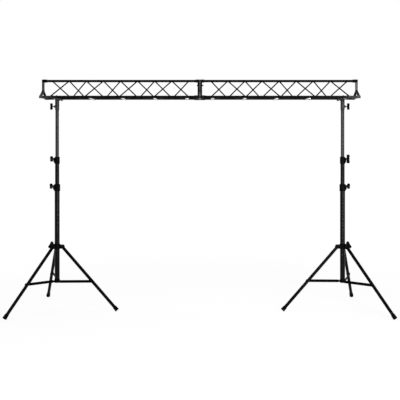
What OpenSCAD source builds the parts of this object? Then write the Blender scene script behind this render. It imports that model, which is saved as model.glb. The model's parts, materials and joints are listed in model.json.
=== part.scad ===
// Portable lighting bridge: a triangular truss in two bolted sections, carried
// by two telescopic tripod stands that lock with T-handled screws.
// Millimetres, +Z up. The truss runs along X and the floor is at Z = 0.

/* [Truss] */
// Length of one truss section, from the joint to its outer end
section_length = 1512; // [1460:1:2000]
// Distance between the axes of the front and rear bottom chords
truss_width = 260; // [200:1:340]
// Height of the top chord's axis above the bottom chords' axes
truss_height = 160; // [130:1:240]
// Outside diameter of a chord tube
chord_od = 24; // [16:0.5:25]
// Wall of a chord tube
chord_wall = 1.5; // [1:0.1:3]
// Diameter of a lattice strut
strut_d = 12; // [5:0.5:13]
// Lattice panels along one section
panels = 8; // [6:2:12]
// Distance from the joint to the first lattice node
lattice_start = 105; // [80:1:160]
// Distance from the last lattice node to the outer end
lattice_end = 97; // [70:1:140]

/* [Truss end frames] */
// Width of a frame's post, across the truss
post_w = 24; // [18:1:36]
// Thickness of the outer frames, along the truss
end_frame_t = 22; // [14:1:30]
// Thickness of a joint frame behind its flange
joint_frame_t = 16; // [10:1:24]
// Thickness of a joint flange
flange_t = 6; // [4:0.5:10]
// Width by which a joint flange stands out all round its frame
flange_rim = 4; // [2:0.5:8]
// Height of the fork above the bottom chords' axes
fork_rise = 66; // [48:1:90]
// Width of the fork's legs and of the bottom bar
fork_bar = 14; // [10:0.5:18]
// Wall of the thick sleeves on the chord ends
sleeve_wall = 3.5; // [3:0.5:8]
// Wall of the thin rings round the bottom chords at the outer frames
ring_wall = 1.5; // [1.5:0.5:5]
// Length of the top sleeve at the outer end
end_sleeve = 48; // [35:1:70]
// Length of the bottom rings at the outer end
end_ring = 34; // [30:1:60]
// Length of the top sleeve on each side of the joint
joint_top_sleeve = 42; // [36:1:60]
// Length of the bottom sleeves on each side of the joint
joint_sleeve = 52; // [44:1:70]
// Thickness of the caps that close the chords at the outer end
end_cap_t = 2; // [1.5:0.5:5]
// Length of a spigot that joins two chords
spigot_length = 160; // [120:5:200]
// Diameter of the joint bolts
joint_bolt_d = 8; // [5:1:10]
// Distance of the sleeve bolts from the joint
joint_bolt_x = 31; // [29:0.5:34]
// Height of the bolt through both posts above the bottom chords' axes
post_bolt_rise = 118; // [90:1:128]
// Length of the post bolt past its nut
post_bolt_tail = 9; // [2:0.5:16]

/* [Fixture straps] */
// Width of a fixture strap, along the truss
strap_w = 30; // [24:1:50]
// Thickness of a fixture strap
strap_t = 4; // [3:0.5:8]
// Straps on one section
strap_count = 4; // [1:1:4]
// Distance from the joint to the middle of the first strap
strap_first = 121; // [90:1:160]
// Distance from one strap to the next
strap_pitch = 303; // [150:1:330]
// Length of a strap past the axis of each bottom chord
strap_overhang = 9; // [2:1:20]
// Diameter of the fixture bolt hole in a strap
strap_hole_d = 11; // [8:0.5:14]

/* [Columns] */
// Distance from a column's axis to the truss's outer end
stand_inset = 144; // [122:1:240]
// Outside diameter of the lower tube
lower_tube_od = 48; // [46:0.5:60]
// Outside diameter of the middle tube
mid_tube_od = 40; // [39.5:0.5:41.5]
// Outside diameter of the upper tube
upper_tube_od = 34; // [28:0.5:34.5]
// Wall of the three column tubes
tube_wall = 2; // [1.5:0.1:2.4]
// Length of the lower tube
lower_tube_length = 903; // [800:1:1200]
// Length of the middle tube
mid_tube_length = 930; // [600:1:930]
// Length of the upper tube
upper_tube_length = 950; // [800:1:950]
// Bare length of middle tube between the two collars
mid_rise = 193; // [185:1:300]
// Bare length of upper tube between the upper collar and the adapter
upper_rise = 448; // [440:1:560]
// Height of the glide ring at the foot of a sliding tube
glide_h = 40; // [25:1:60]
// Depth of the lip that the glide ring turns in under its tube
glide_lip = 3; // [2:0.5:6]

/* [Collars and screws] */
// Length of the collar that grips the outer tube
collar_grip = 32; // [26:1:50]
// Length of the collar above the outer tube
collar_neck = 36; // [32:1:48]
// Wall of a collar over the outer tube
collar_wall = 5; // [4:0.5:8]
// Chamfer at both ends of a collar
collar_chamfer = 3; // [1:0.5:3.5]
// Turn of a collar's screw towards the front
collar_turn = 10.5; // [0:0.5:30]
// Height of the screw's axis above the outer tube's end
screw_rise = 16; // [14:0.5:20]
// Diameter of a screw boss
boss_d = 22; // [16:1:23]
// Reach of a screw boss out from its collar
boss_reach = 11; // [5:0.5:14]
// Thickness of the nose that carries a screw boss
nose_t = 18; // [10:0.5:20]
// Depth of the nose's face below the screw's axis
nose_drop = 27; // [12:0.5:44]
// Diameter of the clamping screws
screw_d = 8; // [6:0.5:10]
// Length of the T-handle on a collar screw
handle_length = 86; // [60:1:90]
// Diameter of the collar T-handles
handle_d = 30; // [16:0.5:31]
// Length of the T-handle on an adapter screw
adapter_handle_length = 64; // [50:1:66]
// Diameter of the adapter T-handles
adapter_handle_d = 26; // [16:0.5:26]
// Diameter of a T-handle's neck
neck_d = 15; // [12:0.5:18]
// Length of a T-handle's neck
neck_length = 1; // [0.5:0.5:16]
// Bare length of an adapter screw between its boss and its neck
adapter_bare = 10; // [1:0.5:20]
// Narrowing of a T-handle at its middle
handle_waist = 2; // [0:0.5:5]
// Chamfer at the ends of a T-handle
handle_chamfer = 4; // [2:0.5:6]

/* [Adapters] */
// Outside diameter of the adapter's sleeve
adapter_od = 40; // [38:0.5:46]
// Length of the adapter's sleeve
adapter_length = 101; // [80:1:140]
// Height of the adapter's screw above the sleeve's lower end
adapter_screw_rise = 34; // [24:1:44]
// Length of the adapter's plate, along the truss
plate_length = 62; // [50:1:130]
// Thickness of the adapter's plate
plate_t = 5; // [3:0.5:8]
// Width of plate beyond each bottom chord's axis
plate_overhang = 26; // [24:1:40]
// Length of the gussets under the plate
gusset = 16; // [12:1:36]
// Thickness of a gusset
gusset_t = 5; // [3:0.5:8]
// Diameter of the U-bolts' rod
u_rod_d = 6; // [4:0.5:8]
// Distance between the two U-bolts on one chord
u_bolt_spacing = 38; // [24:1:44]

/* [Tripods] */
// Turn of the inward leg towards the front
leg_turn = 10.5; // [0:0.5:30]
// Angle of a leg from the vertical
leg_angle = 43; // [36:0.5:48]
// Length of a leg, from its pivot to the end of its foot
leg_length = 803; // [720:1:900]
// Outside diameter of a leg tube
leg_od = 30; // [22:0.5:32]
// Wall of a leg tube
leg_wall = 1.5; // [1:0.1:3]
// Length of leg above its pivot
leg_top = 12; // [10:0.5:16]
// Depth of the plug in a leg's upper end, below its pivot
leg_plug = 16; // [10:1:40]
// Wall of the sliding leg collar
leg_collar_wall = 5; // [4:0.5:8]
// Height of the leg collar above the leg pivots
leg_collar_up = 26; // [18:1:40]
// Depth of the leg collar below the leg pivots
leg_collar_down = 24; // [18:1:40]
// Depth of the leg collar's screw below the collar's top
leg_screw_drop = 12; // [12:0.5:16]
// Reach of the leg collar's screw boss out from the collar
leg_boss_reach = 18; // [6:0.5:20]
// Thickness of a leg ear
ear_t = 4; // [3:0.5:6]
// Diameter of a leg ear's round end
ear_d = 38; // [24:1:40]
// Diameter of the leg pins and brace rivets
pin_d = 8; // [6:0.5:10]
// Diameter of the pin and rivet heads
pin_head_d = 14; // [13:0.5:18]
// Thickness of the pin and rivet heads
pin_head_t = 3; // [2:0.5:4]
// Distance along a leg from its pivot to its brace
brace_reach = 437; // [360:1:480]
// Height of a brace's outer end above its inner end
brace_rise = 12; // [-10:1:40]
// Width of a brace strap
brace_w = 26; // [14:1:28]
// Thickness of a brace strap
brace_t = 4; // [2:0.5:6]
// Growth of a strap's round eyes over its width
brace_eye_extra = 2; // [1:0.5:8]
// Wall of the hub at the foot of the column
hub_wall = 2.5; // [2:0.5:8]
// Height of the hub
hub_h = 34; // [30:1:70]
// Thickness of the hub's floor
hub_floor = 5; // [3:0.5:10]
// Height of the brace pivots above the hub's underside
hub_pin_rise = 14; // [12:0.5:20]
// Diameter of a hub lug's round end
lug_d = 20; // [16:1:24]
// Thickness of a hub lug
lug_t = 10; // [6:0.5:12]
// Diameter of a rubber foot
foot_d = 40; // [36:1:44]
// Length of a rubber foot
foot_length = 44; // [30:1:70]
// Thickness of rubber under the leg tube's end
foot_sole = 8; // [6:0.5:14]
// Wall of a rubber foot at its mouth
foot_mouth_wall = 3; // [2:0.5:4]
// Depth to which a foot's lower edge is worn flat
foot_flat = 3; // [1:0.5:5]

/* [Clearances] */
// Gap between pieces that are fixed together
seat_gap = 0.05; // [0.02:0.01:0.1]
// Gap round a tube that slides in a collar
slide_gap = 0.25; // [0.15:0.05:0.4]
// Gap round a glide ring
glide_gap = 0.2; // [0.1:0.05:0.4]
// Gap round a turning pin
pin_gap = 0.06; // [0.03:0.01:0.1]
// Gap between a clamping screw's tip and the tube that it holds
tip_gap = 0.35; // [0.2:0.05:0.5]
// Gap between a T-handle's neck and its boss
neck_gap = 0.5; // [0.3:0.1:1]
// Gap on each side of a leg between its ears, and between a leg and its brace strap
side_gap = 0.6; // [0.4:0.1:1.2]
// Gap between a leg's upper end and the leg collar as it swings
swing_room = 2.5; // [1:0.5:5]
// Gap between a U-bolt and its chord
u_bolt_gap = 0.3; // [0.1:0.1:0.6]

/* [Hidden] */
$fn = 48;
LEFT = -1;
RIGHT = 1;
// Side of a leg that its brace strap lies on: the stands are alike, so the mirrored one takes the other sign
STRAP_LEFT = 1;
STRAP_RIGHT = -1;
// Rest turns of the T-handles about their screws, one for each stand
upper_turn = [67, 8];
lower_turn = [67, 66];
leg_screw_turn = [118, 118];
// How far cutting solids run past what they cut
cut = 1;
// A reach beyond the whole object
far = 5000;
// Hexagon across its corners for a bolt of diameter 1, and nut and head heights
hex_ratio = 1.9;
hex_height = 0.7;

chord_r = chord_od / 2;
stand_x = section_length - stand_inset;
// Y and Z of the three chords from the middle of the bottom chords' plane
TOP = [0, truss_height];
FRONT = [-truss_width / 2, 0];
REAR = [truss_width / 2, 0];
chords = [TOP, FRONT, REAR];
panel = (section_length - lattice_start - lattice_end) / panels;
fork_length = norm([truss_width / 2, fork_rise]);
fork_lean = atan2(truss_width / 2, fork_rise);
sleeve_od = chord_od + 2 * sleeve_wall;
ring_od = chord_od + 2 * ring_wall;

lower_bore = lower_tube_od - 2 * tube_wall;
mid_bore = mid_tube_od - 2 * tube_wall;
leg_ring_r = lower_tube_od / 2 + slide_gap + leg_collar_wall;
pivot_r = leg_ring_r + norm([leg_top, leg_od / 2]) + swing_room;
pivot_h = leg_length * cos(leg_angle) + foot_d / 2 * sin(leg_angle) - foot_flat;
foot_reach = pivot_r + leg_length * sin(leg_angle);
inner_dir = 180 + leg_turn;
rear_dir = inner_dir - 120;
front_dir = inner_dir + 120;
leg_dirs = [inner_dir, rear_dir, front_dir];
leg_screw_dir = leg_turn;
// The columns stand forward of the middle, so that the feet reach equally far to the front and rear
column_y = -foot_reach * (sin(rear_dir) + sin(front_dir)) / 2;

hub_r = lower_tube_od / 2 + hub_wall;
brace_eye_d = brace_w + brace_eye_extra;
hub_pin_r = hub_r + brace_eye_d / 2 + swing_room / 2;
hub_pin_h = pivot_h - brace_reach * cos(leg_angle) - brace_rise;
brace_run = pivot_r + brace_reach * sin(leg_angle) - hub_pin_r;
brace_length = norm([brace_run, brace_rise]);
brace_tilt = atan2(brace_rise, brace_run);
hub_base = hub_pin_h - hub_pin_rise;
side_in = leg_od / 2 + side_gap;
lug_in = side_in - side_gap / 2 - lug_t;

lower_bottom = hub_base + hub_floor;
lower_top = lower_bottom + lower_tube_length;
mid_top = lower_top + collar_neck + mid_rise + collar_grip;
adapter_bottom = mid_top + collar_neck + upper_rise;
plate_bottom = adapter_bottom + adapter_length;
chord_h = plate_bottom + plate_t + chord_r;
lower_collar_r = lower_tube_od / 2 + collar_wall;
upper_collar_r = mid_tube_od / 2 + collar_wall;
leg_screw_h = pivot_h + leg_collar_up - leg_screw_drop;
u_ring_r = chord_r + u_bolt_gap + u_rod_d / 2;

// Frames of reference

// The right half as drawn, or its mirror image for the left half
module on_side(side) {
  if (side == LEFT) mirror([1, 0, 0]) children();
  else children();
}

// Middle of the bottom chords' plane at the joint, with X out along one section
module on_truss(side) {
  on_side(side) translate([0, column_y, chord_h]) children();
}

// Column axis at the floor, with X pointing away from the truss's middle
module on_stand(side) {
  on_side(side) translate([stand_x, column_y, 0]) children();
}

// A height on the column, with X along the screw of a collar
module on_collar(height) {
  translate([0, 0, height]) rotate([0, 0, -collar_turn]) children();
}

// A leg's pivot, with the leg running down -Z and its pin along Y
module on_leg(dir) {
  rotate([0, 0, dir]) translate([pivot_r, 0, pivot_h]) rotate([0, -leg_angle, 0]) children();
}

// A brace's inner pivot, with the brace running out along X and its rivet along Y
module on_brace(dir) {
  rotate([0, 0, dir]) translate([hub_pin_r, 0, hub_pin_h]) rotate([0, -brace_tilt, 0]) children();
}

// The +Y side as drawn, or its mirror image
module on_strap_side(strap_side) {
  if (strap_side < 0) mirror([0, 1, 0]) children();
  else children();
}

module on_chord(chord) {
  translate([0, chord[0], chord[1]]) children();
}

// Shared shapes

module tube(od, wall, length) {
  difference() {
    cylinder(d = od, h = length);
    translate([0, 0, -cut]) cylinder(d = od - 2 * wall, h = length + 2 * cut);
  }
}

// A round bar along X, from x to x + length
module bar_x(d, x, length) {
  translate([x, 0, 0]) rotate([0, 90, 0]) cylinder(d = d, h = length);
}

// A round bar along Y, centred
module bar_y(d, length) {
  rotate([90, 0, 0]) cylinder(d = d, h = length, center = true);
}

// A hexagon along Y, outwards from y
module hex_y(bolt_d, y, outwards) {
  height = hex_height * bolt_d;
  translate([0, outwards > 0 ? y : y - height, 0])
    rotate([-90, 0, 0]) cylinder(d = hex_ratio * bolt_d, h = height, $fn = 6);
}

// A pin along Y with a head outside +-half at each end
module headed_pin(half) {
  bar_y(pin_d, 2 * half + pin_head_t);
  for (s = [-1, 1])
    translate([0, s * (half + seat_gap + pin_head_t / 2), 0]) bar_y(pin_head_d, pin_head_t);
}

module joint_bolt_holes() {
  for (chord = chords)
    on_chord(chord) translate([joint_bolt_x, 0, 0]) bar_y(joint_bolt_d + 2 * seat_gap, truss_width / 2);
}

// The bolt along X through both posts, from its head on the left to its tail on the right
module post_bolt() {
  half = flange_t + joint_frame_t;
  height = hex_height * joint_bolt_d;
  translate([0, 0, post_bolt_rise]) {
    bar_x(joint_bolt_d, -half - height / 2, 2 * half + 1.5 * height + post_bolt_tail);
    for (x = [-half - height, half])
      translate([x, 0, 0]) rotate([0, 90, 0]) cylinder(d = hex_ratio * joint_bolt_d, h = height, $fn = 6);
  }
}

// Truss

module chord_tubes() {
  color("#1d1d1f") difference() {
    for (chord = chords)
      on_chord(chord) rotate([0, 90, 0]) tube(chord_od, chord_wall, section_length - end_cap_t);
    joint_bolt_holes();
  }
}

function node_at(k, chord) = [lattice_start + k * panel, chord[0], chord[1]];

// One strut between two nodes on the chords' axes, coped to both chords
module strut(k, chord_p, chord_q) {
  p = node_at(k, chord_p);
  along = node_at(k + 1, chord_q) - p;
  difference() {
    translate(p) rotate([0, acos(along[2] / norm(along)), atan2(along[1], along[0])])
      cylinder(d = strut_d, h = norm(along));
    for (chord = [chord_p, chord_q])
      on_chord(chord) bar_x(chord_od + 2 * seat_gap, p[0] - chord_od, along[0] + 2 * chord_od);
  }
}

// A zigzag that meets chord a at even nodes and chord b at odd nodes
module zigzag(a, b) {
  for (k = [0:panels - 1])
    if (k % 2 == 0) strut(k, a, b);
    else strut(k, b, a);
}

module lattice() {
  color("#1a1a1c") {
    zigzag(FRONT, TOP);
    zigzag(TOP, REAR);
    zigzag(REAR, FRONT);
  }
}

// Post, fork and bottom bar seen along the truss, each wider by grow all round
module frame_outline(grow) {
  translate([-post_w / 2 - grow, fork_rise]) square([post_w + 2 * grow, truss_height - fork_rise]);
  translate([0, fork_rise]) circle(d = post_w + 2 * grow + 2 * cut);
  for (s = [-1, 1])
    translate([0, fork_rise]) rotate(s * fork_lean) translate([-fork_bar / 2 - grow, -fork_length])
      square([fork_bar + 2 * grow, fork_length]);
  translate([-truss_width / 2, -fork_bar / 2 - grow]) square([truss_width, fork_bar + 2 * grow]);
}

// A frame of thickness t from x
module frame_bars(x, t, grow) {
  translate([x, 0, 0]) rotate([90, 0, 90]) linear_extrude(t) frame_outline(grow);
}

module end_frame() {
  color("#3c3c3f") difference() {
    union() {
      frame_bars(section_length - end_frame_t, end_frame_t, 0);
      on_chord(TOP) bar_x(sleeve_od, section_length - end_sleeve, end_sleeve);
      for (chord = [FRONT, REAR])
        on_chord(chord) bar_x(ring_od, section_length - end_ring, end_ring);
    }
    for (chord = chords)
      on_chord(chord) bar_x(chord_od + 2 * seat_gap, 0, section_length - end_cap_t);
  }
}

module joint_frame() {
  color("#232325") difference() {
    union() {
      frame_bars(0, flange_t, flange_rim);
      frame_bars(0, flange_t + joint_frame_t, 0);
      on_chord(TOP) bar_x(sleeve_od, 0, joint_top_sleeve);
      for (chord = [FRONT, REAR])
        on_chord(chord) bar_x(sleeve_od, 0, joint_sleeve);
    }
    for (chord = chords)
      on_chord(chord) bar_x(chord_od + 2 * seat_gap, -cut, joint_sleeve + 2 * cut);
    joint_bolt_holes();
    translate([0, 0, post_bolt_rise]) bar_x(joint_bolt_d + 2 * seat_gap, -cut, joint_sleeve);
  }
}

module joint_spigots() {
  color("silver") difference() {
    for (chord = chords)
      on_chord(chord)
        bar_x(chord_od - 2 * chord_wall - 2 * seat_gap, -spigot_length / 2, spigot_length);
    for (side = [LEFT, RIGHT]) on_side(side) joint_bolt_holes();
  }
}

module joint_bolts() {
  color("#2a2a2c") {
    for (side = [LEFT, RIGHT], chord = chords)
      on_side(side) on_chord(chord) translate([joint_bolt_x, 0, 0]) {
        bar_y(joint_bolt_d, sleeve_od + hex_height * joint_bolt_d);
        for (s = [-1, 1]) hex_y(joint_bolt_d, s * sleeve_od / 2, s);
      }
    post_bolt();
  }
}

module fixture_straps() {
  strap_length = truss_width + 2 * strap_overhang;
  color("silver")
    for (side = [LEFT, RIGHT], i = [0:strap_count - 1])
      on_side(side) translate([strap_first + i * strap_pitch, 0, -chord_r - strap_t]) difference() {
        translate([-strap_w / 2, -strap_length / 2, 0]) cube([strap_w, strap_length, strap_t]);
        translate([0, 0, -cut]) cylinder(d = strap_hole_d, h = strap_t + 2 * cut);
      }
}

// Columns

// A T-handled screw along X: its tip, the face of its boss, its bare length there, its handle and turn
module t_screw(tip, boss_face, bare, d, length, turn) {
  neck_x = boss_face + bare;
  handle_x = neck_x + neck_length + d / 2;
  r = d / 2;
  half = length / 2;
  color("#141415") {
    bar_x(screw_d, tip, handle_x - tip);
    bar_x(neck_d, neck_x, neck_length + r);
    translate([handle_x, 0, 0]) rotate([turn, 0, 0]) rotate_extrude() polygon([
      [0, -half], [r - handle_chamfer, -half], [r, -half + handle_chamfer],
      [r - handle_waist, 0], [r, half - handle_chamfer], [r - handle_chamfer, half], [0, half]
    ]);
  }
}

// A clamp collar with its origin at the end of the outer tube that it grips
module clamp_collar(outer_od, inner_od, r) {
  inset = collar_chamfer;
  color("#161617") difference() {
    union() {
      rotate_extrude() polygon([
        [0, -collar_grip], [r - inset, -collar_grip], [r, -collar_grip + inset],
        [r, collar_neck - inset], [r - inset, collar_neck], [0, collar_neck]
      ]);
      translate([0, 0, screw_rise]) bar_x(boss_d, 0, r + boss_reach);
      rotate([90, 0, 0]) linear_extrude(nose_t, center = true) polygon([
        [0, screw_rise], [r + boss_reach, screw_rise], [r + boss_reach, screw_rise - nose_drop],
        [r - inset, -collar_grip + inset], [0, -collar_grip + inset]
      ]);
    }
    translate([0, 0, -collar_grip - cut]) cylinder(d = outer_od + 2 * seat_gap, h = collar_grip + cut);
    cylinder(d = inner_od + 2 * slide_gap, h = collar_neck + cut);
    translate([0, 0, screw_rise]) bar_x(screw_d + 2 * pin_gap, 0, r + boss_reach + cut);
  }
}

// A glide ring on the foot of a sliding tube, with a lip under the tube's end
module glide(tube_od, guide_bore) {
  color("#2c2c2e") rotate_extrude() polygon([
    [tube_od / 2 - tube_wall, -glide_lip], [guide_bore / 2 - glide_gap, -glide_lip],
    [guide_bore / 2 - glide_gap, glide_h], [tube_od / 2 + seat_gap, glide_h],
    [tube_od / 2 + seat_gap, 0], [tube_od / 2 - tube_wall, 0]
  ]);
}

module column_tube(od, bottom, length) {
  color("#1b1b1d") translate([0, 0, bottom]) tube(od, tube_wall, length);
}

module lower_tube() {
  column_tube(lower_tube_od, lower_bottom, lower_tube_length);
}

module mid_tube() {
  column_tube(mid_tube_od, mid_top - mid_tube_length, mid_tube_length);
}

module upper_tube() {
  column_tube(upper_tube_od, plate_bottom - upper_tube_length, upper_tube_length);
}

module mid_glide() {
  translate([0, 0, mid_top - mid_tube_length]) glide(mid_tube_od, lower_bore);
}

module upper_glide() {
  translate([0, 0, plate_bottom - upper_tube_length]) glide(upper_tube_od, mid_bore);
}

module lower_collar() {
  on_collar(lower_top) clamp_collar(lower_tube_od, mid_tube_od, lower_collar_r);
}

module upper_collar() {
  on_collar(mid_top) clamp_collar(mid_tube_od, upper_tube_od, upper_collar_r);
}

module lower_knob(turn) {
  on_collar(lower_top + screw_rise)
    t_screw(mid_tube_od / 2 + tip_gap, lower_collar_r + boss_reach, neck_gap,
            handle_d, handle_length, turn);
}

module upper_knob(turn) {
  on_collar(mid_top + screw_rise)
    t_screw(upper_tube_od / 2 + tip_gap, upper_collar_r + boss_reach, neck_gap,
            handle_d, handle_length, turn);
}

// Adapters between the columns and the truss

// Holes or legs of the U-bolts, at their places on the plate
module at_u_bolts() {
  for (x = [-1, 1], chord = [FRONT, REAR])
    translate([x * u_bolt_spacing / 2, chord[0], 0]) children();
}

module adapter() {
  plate_width = truss_width + 2 * plate_overhang;
  color("#1b1b1d") difference() {
    union() {
      translate([0, 0, adapter_bottom]) cylinder(d = adapter_od, h = adapter_length);
      translate([-plate_length / 2, -plate_width / 2, plate_bottom])
        cube([plate_length, plate_width, plate_t]);
      translate([0, 0, adapter_bottom + adapter_screw_rise]) bar_x(boss_d, 0, adapter_od / 2 + boss_reach);
      for (dir = [90, 180, 270])
        translate([0, 0, plate_bottom]) rotate([90, 0, dir]) linear_extrude(gusset_t, center = true)
          polygon([[0, 0], [adapter_od / 2 + gusset, 0], [adapter_od / 2, -gusset], [0, -gusset]]);
    }
    translate([0, 0, adapter_bottom - cut])
      cylinder(d = upper_tube_od + 2 * seat_gap, h = adapter_length + cut);
    translate([0, 0, adapter_bottom + adapter_screw_rise])
      bar_x(screw_d + 2 * pin_gap, 0, adapter_od / 2 + boss_reach + cut);
    at_u_bolts() for (s = [-1, 1])
      translate([0, s * u_ring_r, plate_bottom - cut])
        cylinder(d = u_rod_d + 2 * seat_gap, h = plate_t + 2 * cut);
  }
}

module adapter_knob() {
  translate([0, 0, adapter_bottom + adapter_screw_rise])
    t_screw(upper_tube_od / 2 + tip_gap, adapter_od / 2 + boss_reach, adapter_bare,
            adapter_handle_d, adapter_handle_length, 0);
}

module adapter_u_bolts() {
  nut_h = hex_height * u_rod_d;
  tail = plate_bottom - 2 * nut_h;
  color("#2a2a2c") at_u_bolts() {
    translate([0, 0, chord_h]) rotate([90, 0, 90]) rotate_extrude(angle = 180)
      translate([u_ring_r, 0]) circle(d = u_rod_d);
    for (s = [-1, 1]) translate([0, s * u_ring_r, 0]) {
      translate([0, 0, tail]) cylinder(d = u_rod_d, h = chord_h - tail);
      translate([0, 0, plate_bottom - nut_h]) cylinder(d = hex_ratio * u_rod_d, h = nut_h, $fn = 6);
    }
  }
}

// Tripods

module leg_collar() {
  r = leg_ring_r;
  inset = collar_chamfer;
  ear_h = ear_d - 2 * cut;
  color("#161617") difference() {
    union() {
      translate([0, 0, pivot_h]) rotate_extrude() polygon([
        [0, -leg_collar_down], [r - inset, -leg_collar_down], [r, -leg_collar_down + inset],
        [r, leg_collar_up - inset], [r - inset, leg_collar_up], [0, leg_collar_up]
      ]);
      for (dir = leg_dirs, s = [-1, 1]) rotate([0, 0, dir])
        translate([0, s * (side_in + ear_t / 2), pivot_h]) {
          translate([0, -ear_t / 2, -ear_h / 2]) cube([pivot_r, ear_t, ear_h]);
          translate([pivot_r, 0, 0]) bar_y(ear_d, ear_t);
        }
      translate([0, 0, leg_screw_h]) rotate([0, 0, leg_screw_dir]) bar_x(boss_d, 0, r + leg_boss_reach);
    }
    translate([0, 0, pivot_h - leg_collar_down - cut])
      cylinder(d = lower_tube_od + 2 * slide_gap, h = leg_collar_down + leg_collar_up + 2 * cut);
    for (dir = leg_dirs) rotate([0, 0, dir])
      translate([pivot_r, 0, pivot_h]) bar_y(pin_d + 2 * seat_gap, 2 * (side_in + ear_t + cut));
    translate([0, 0, leg_screw_h]) rotate([0, 0, leg_screw_dir])
      bar_x(screw_d + 2 * pin_gap, 0, r + leg_boss_reach + cut);
  }
}

module leg_pins() {
  color("gray") for (dir = leg_dirs) rotate([0, 0, dir])
    translate([pivot_r, 0, pivot_h]) headed_pin(side_in + ear_t);
}

module leg_knob(turn) {
  translate([0, 0, leg_screw_h]) rotate([0, 0, leg_screw_dir])
    t_screw(lower_tube_od / 2 + tip_gap, leg_ring_r + leg_boss_reach, neck_gap,
            handle_d, handle_length, turn);
}

// A leg tube, with the shank of its brace's rivet, headed on the side away from the strap
module leg(dir, strap_side) {
  tube_end = leg_length - foot_sole;
  color("#1b1b1d") on_leg(dir) {
    difference() {
      translate([0, 0, -tube_end]) cylinder(d = leg_od, h = tube_end + leg_top);
      translate([0, 0, -tube_end - cut])
        cylinder(d = leg_od - 2 * leg_wall, h = tube_end - leg_plug + cut);
      bar_y(pin_d + 2 * pin_gap, leg_od + 2 * cut);
    }
    translate([0, 0, -brace_reach]) {
      bar_y(pin_d, leg_od + side_gap);
      translate([0, -strap_side * leg_od / 2, 0]) bar_y(pin_head_d, pin_head_t);
    }
  }
}

module foot(dir) {
  mouth_r = leg_od / 2 + foot_mouth_wall;
  color("#0f0f10") difference() {
    on_leg(dir) translate([0, 0, -leg_length]) difference() {
      rotate_extrude() polygon([
        [0, 0], [foot_d / 2, 0], [foot_d / 2, foot_sole], [mouth_r, foot_length], [0, foot_length]
      ]);
      translate([0, 0, foot_sole]) cylinder(d = leg_od + 2 * seat_gap, h = foot_length);
    }
    translate([-far, -far, -2 * far]) cube(2 * far);
  }
}

// A strap beside the leg and the hub lug, with its rivets
module brace(dir, strap_side) {
  strap_out = side_in + brace_t;
  color("#1b1b1d") on_brace(dir) on_strap_side(strap_side) {
    translate([0, side_in + brace_t / 2, 0]) difference() {
      union() {
        translate([0, -brace_t / 2, -brace_w / 2]) cube([brace_length, brace_t, brace_w]);
        for (x = [0, brace_length]) translate([x, 0, 0]) bar_y(brace_eye_d, brace_t);
      }
      for (x = [0, brace_length]) translate([x, 0, 0]) bar_y(pin_d + 2 * seat_gap, brace_t + 2 * cut);
    }
    for (x = [0, brace_length])
      translate([x, strap_out + seat_gap + pin_head_t / 2, 0]) bar_y(pin_head_d, pin_head_t);
    translate([brace_length, side_in, 0]) rotate([-90, 0, 0])
      cylinder(d = pin_d, h = brace_t + pin_head_t / 2);
    translate([0, lug_in - pin_head_t / 2, 0]) rotate([-90, 0, 0])
      cylinder(d = pin_d, h = strap_out + pin_head_t - lug_in);
    translate([0, lug_in - seat_gap - pin_head_t / 2, 0]) bar_y(pin_head_d, pin_head_t);
  }
}

module hub(strap_side) {
  lug_h = lug_d - 2 * cut;
  color("#161617") difference() {
    union() {
      translate([0, 0, hub_base]) cylinder(r = hub_r, h = hub_h);
      for (dir = leg_dirs) rotate([0, 0, dir]) translate([0, strap_side * (lug_in + lug_t / 2), hub_pin_h]) {
        translate([0, -lug_t / 2, -lug_h / 2]) cube([hub_pin_r, lug_t, lug_h]);
        translate([hub_pin_r, 0, 0]) bar_y(lug_d, lug_t);
      }
    }
    translate([0, 0, lower_bottom]) cylinder(d = lower_tube_od + 2 * seat_gap, h = hub_h);
    for (dir = leg_dirs) rotate([0, 0, dir])
      translate([hub_pin_r, 0, hub_pin_h]) bar_y(pin_d + 2 * pin_gap, 2 * side_in);
  }
}

on_truss(LEFT) chord_tubes();  // left_chords
on_truss(RIGHT) chord_tubes();  // right_chords
on_truss(LEFT) lattice();  // left_lattice
on_truss(RIGHT) lattice();  // right_lattice
on_truss(LEFT) end_frame();  // left_end_frame
on_truss(RIGHT) end_frame();  // right_end_frame
on_truss(LEFT) joint_frame();  // left_joint_frame
on_truss(RIGHT) joint_frame();  // right_joint_frame
on_truss(RIGHT) joint_spigots();
on_truss(RIGHT) joint_bolts();
on_truss(RIGHT) fixture_straps();
on_stand(LEFT) adapter();  // left_adapter
on_stand(RIGHT) adapter();  // right_adapter
union() {
  on_stand(LEFT) adapter_u_bolts();
  on_stand(RIGHT) adapter_u_bolts();
}
on_stand(LEFT) adapter_knob();  // left_adapter_knob
on_stand(RIGHT) adapter_knob();  // right_adapter_knob
on_stand(LEFT) upper_tube();  // left_upper_tube
on_stand(RIGHT) upper_tube();  // right_upper_tube
on_stand(LEFT) upper_glide();  // left_upper_glide
on_stand(RIGHT) upper_glide();  // right_upper_glide
on_stand(LEFT) mid_tube();  // left_mid_tube
on_stand(RIGHT) mid_tube();  // right_mid_tube
on_stand(LEFT) mid_glide();  // left_mid_glide
on_stand(RIGHT) mid_glide();  // right_mid_glide
on_stand(LEFT) upper_collar();  // left_upper_collar
on_stand(RIGHT) upper_collar();  // right_upper_collar
on_stand(LEFT) upper_knob(upper_turn[0]);  // left_upper_knob
on_stand(RIGHT) upper_knob(upper_turn[1]);  // right_upper_knob
on_stand(LEFT) lower_tube();  // left_lower_tube
on_stand(RIGHT) lower_tube();  // right_lower_tube
on_stand(LEFT) lower_collar();  // left_lower_collar
on_stand(RIGHT) lower_collar();  // right_lower_collar
on_stand(LEFT) lower_knob(lower_turn[0]);  // left_lower_knob
on_stand(RIGHT) lower_knob(lower_turn[1]);  // right_lower_knob
on_stand(LEFT) hub(STRAP_LEFT);  // left_hub
on_stand(RIGHT) hub(STRAP_RIGHT);  // right_hub
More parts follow.
